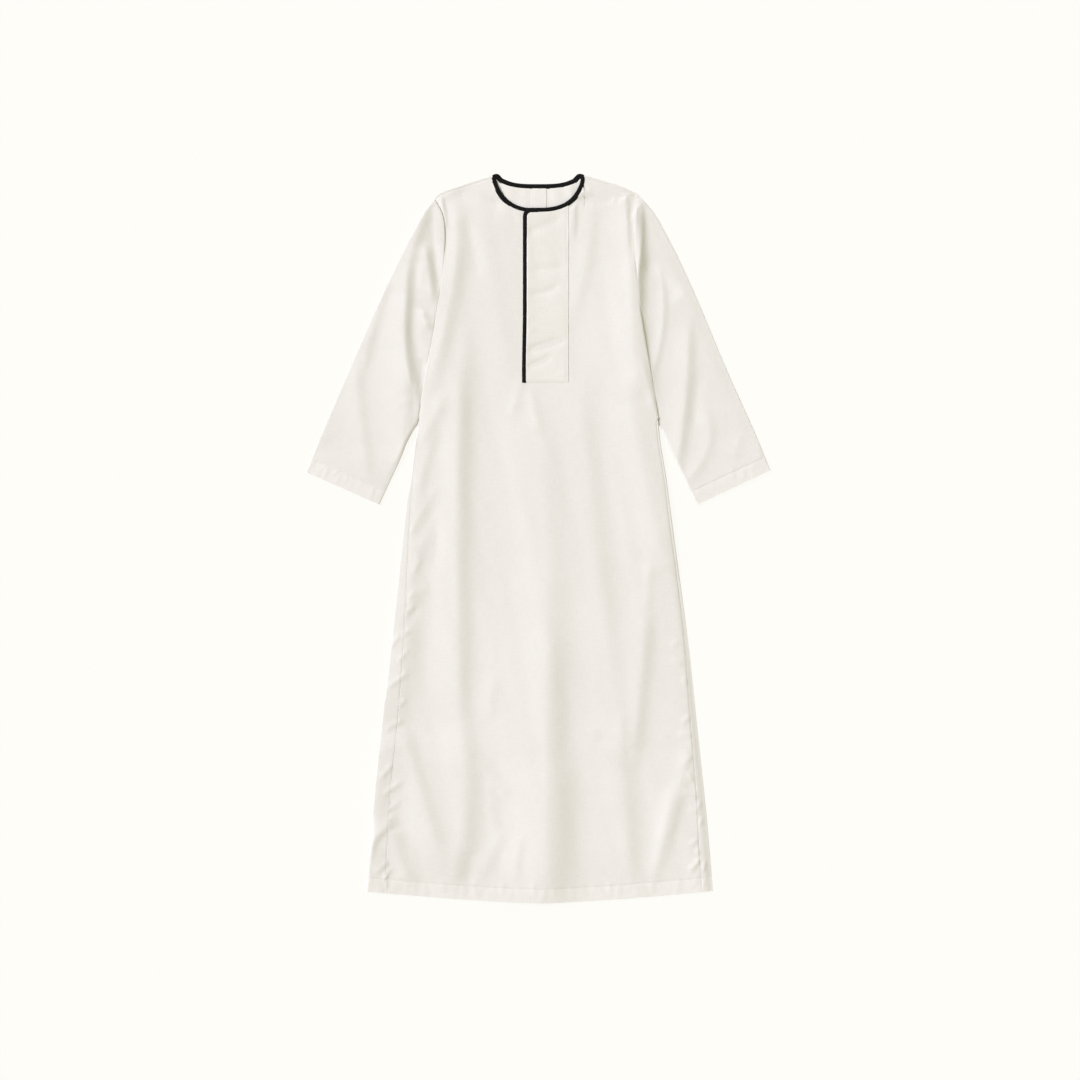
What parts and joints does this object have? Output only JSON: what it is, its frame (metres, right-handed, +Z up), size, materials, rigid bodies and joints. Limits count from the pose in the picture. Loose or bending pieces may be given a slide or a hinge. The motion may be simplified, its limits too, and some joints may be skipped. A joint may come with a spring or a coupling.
{
  "type": "long thobe robe laid flat",
  "caption": "Ankle-length cream thobe robe laid flat, with long sleeves, dark bound neck and a placket edged to match.",
  "frame": {"origin": "middle of the garment's bounding box in plan, on the face it lies on", "axes": "+X towards the sleeve at the viewer's right, +Y from hem to neck, +Z up from the surface through back and front"},
  "size_m": [0.8918, 1.3994, 0.019],
  "materials": {
    "body_cloth": "matt fine plain weave with a faint sheen",
    "placket_cloth": "the same cloth doubled and interfaced",
    "binding": "near-black folded strip, slightly satin"
  },
  "bodies": {
    "root": {"back_panel": "body_cloth", "front_panel": "body_cloth", "sleeve_left": "body_cloth", "sleeve_right": "body_cloth", "placket": "placket_cloth", "back_neck_strip": "body_cloth", "neck_binding": "binding"}
  },
  "joints": []
}
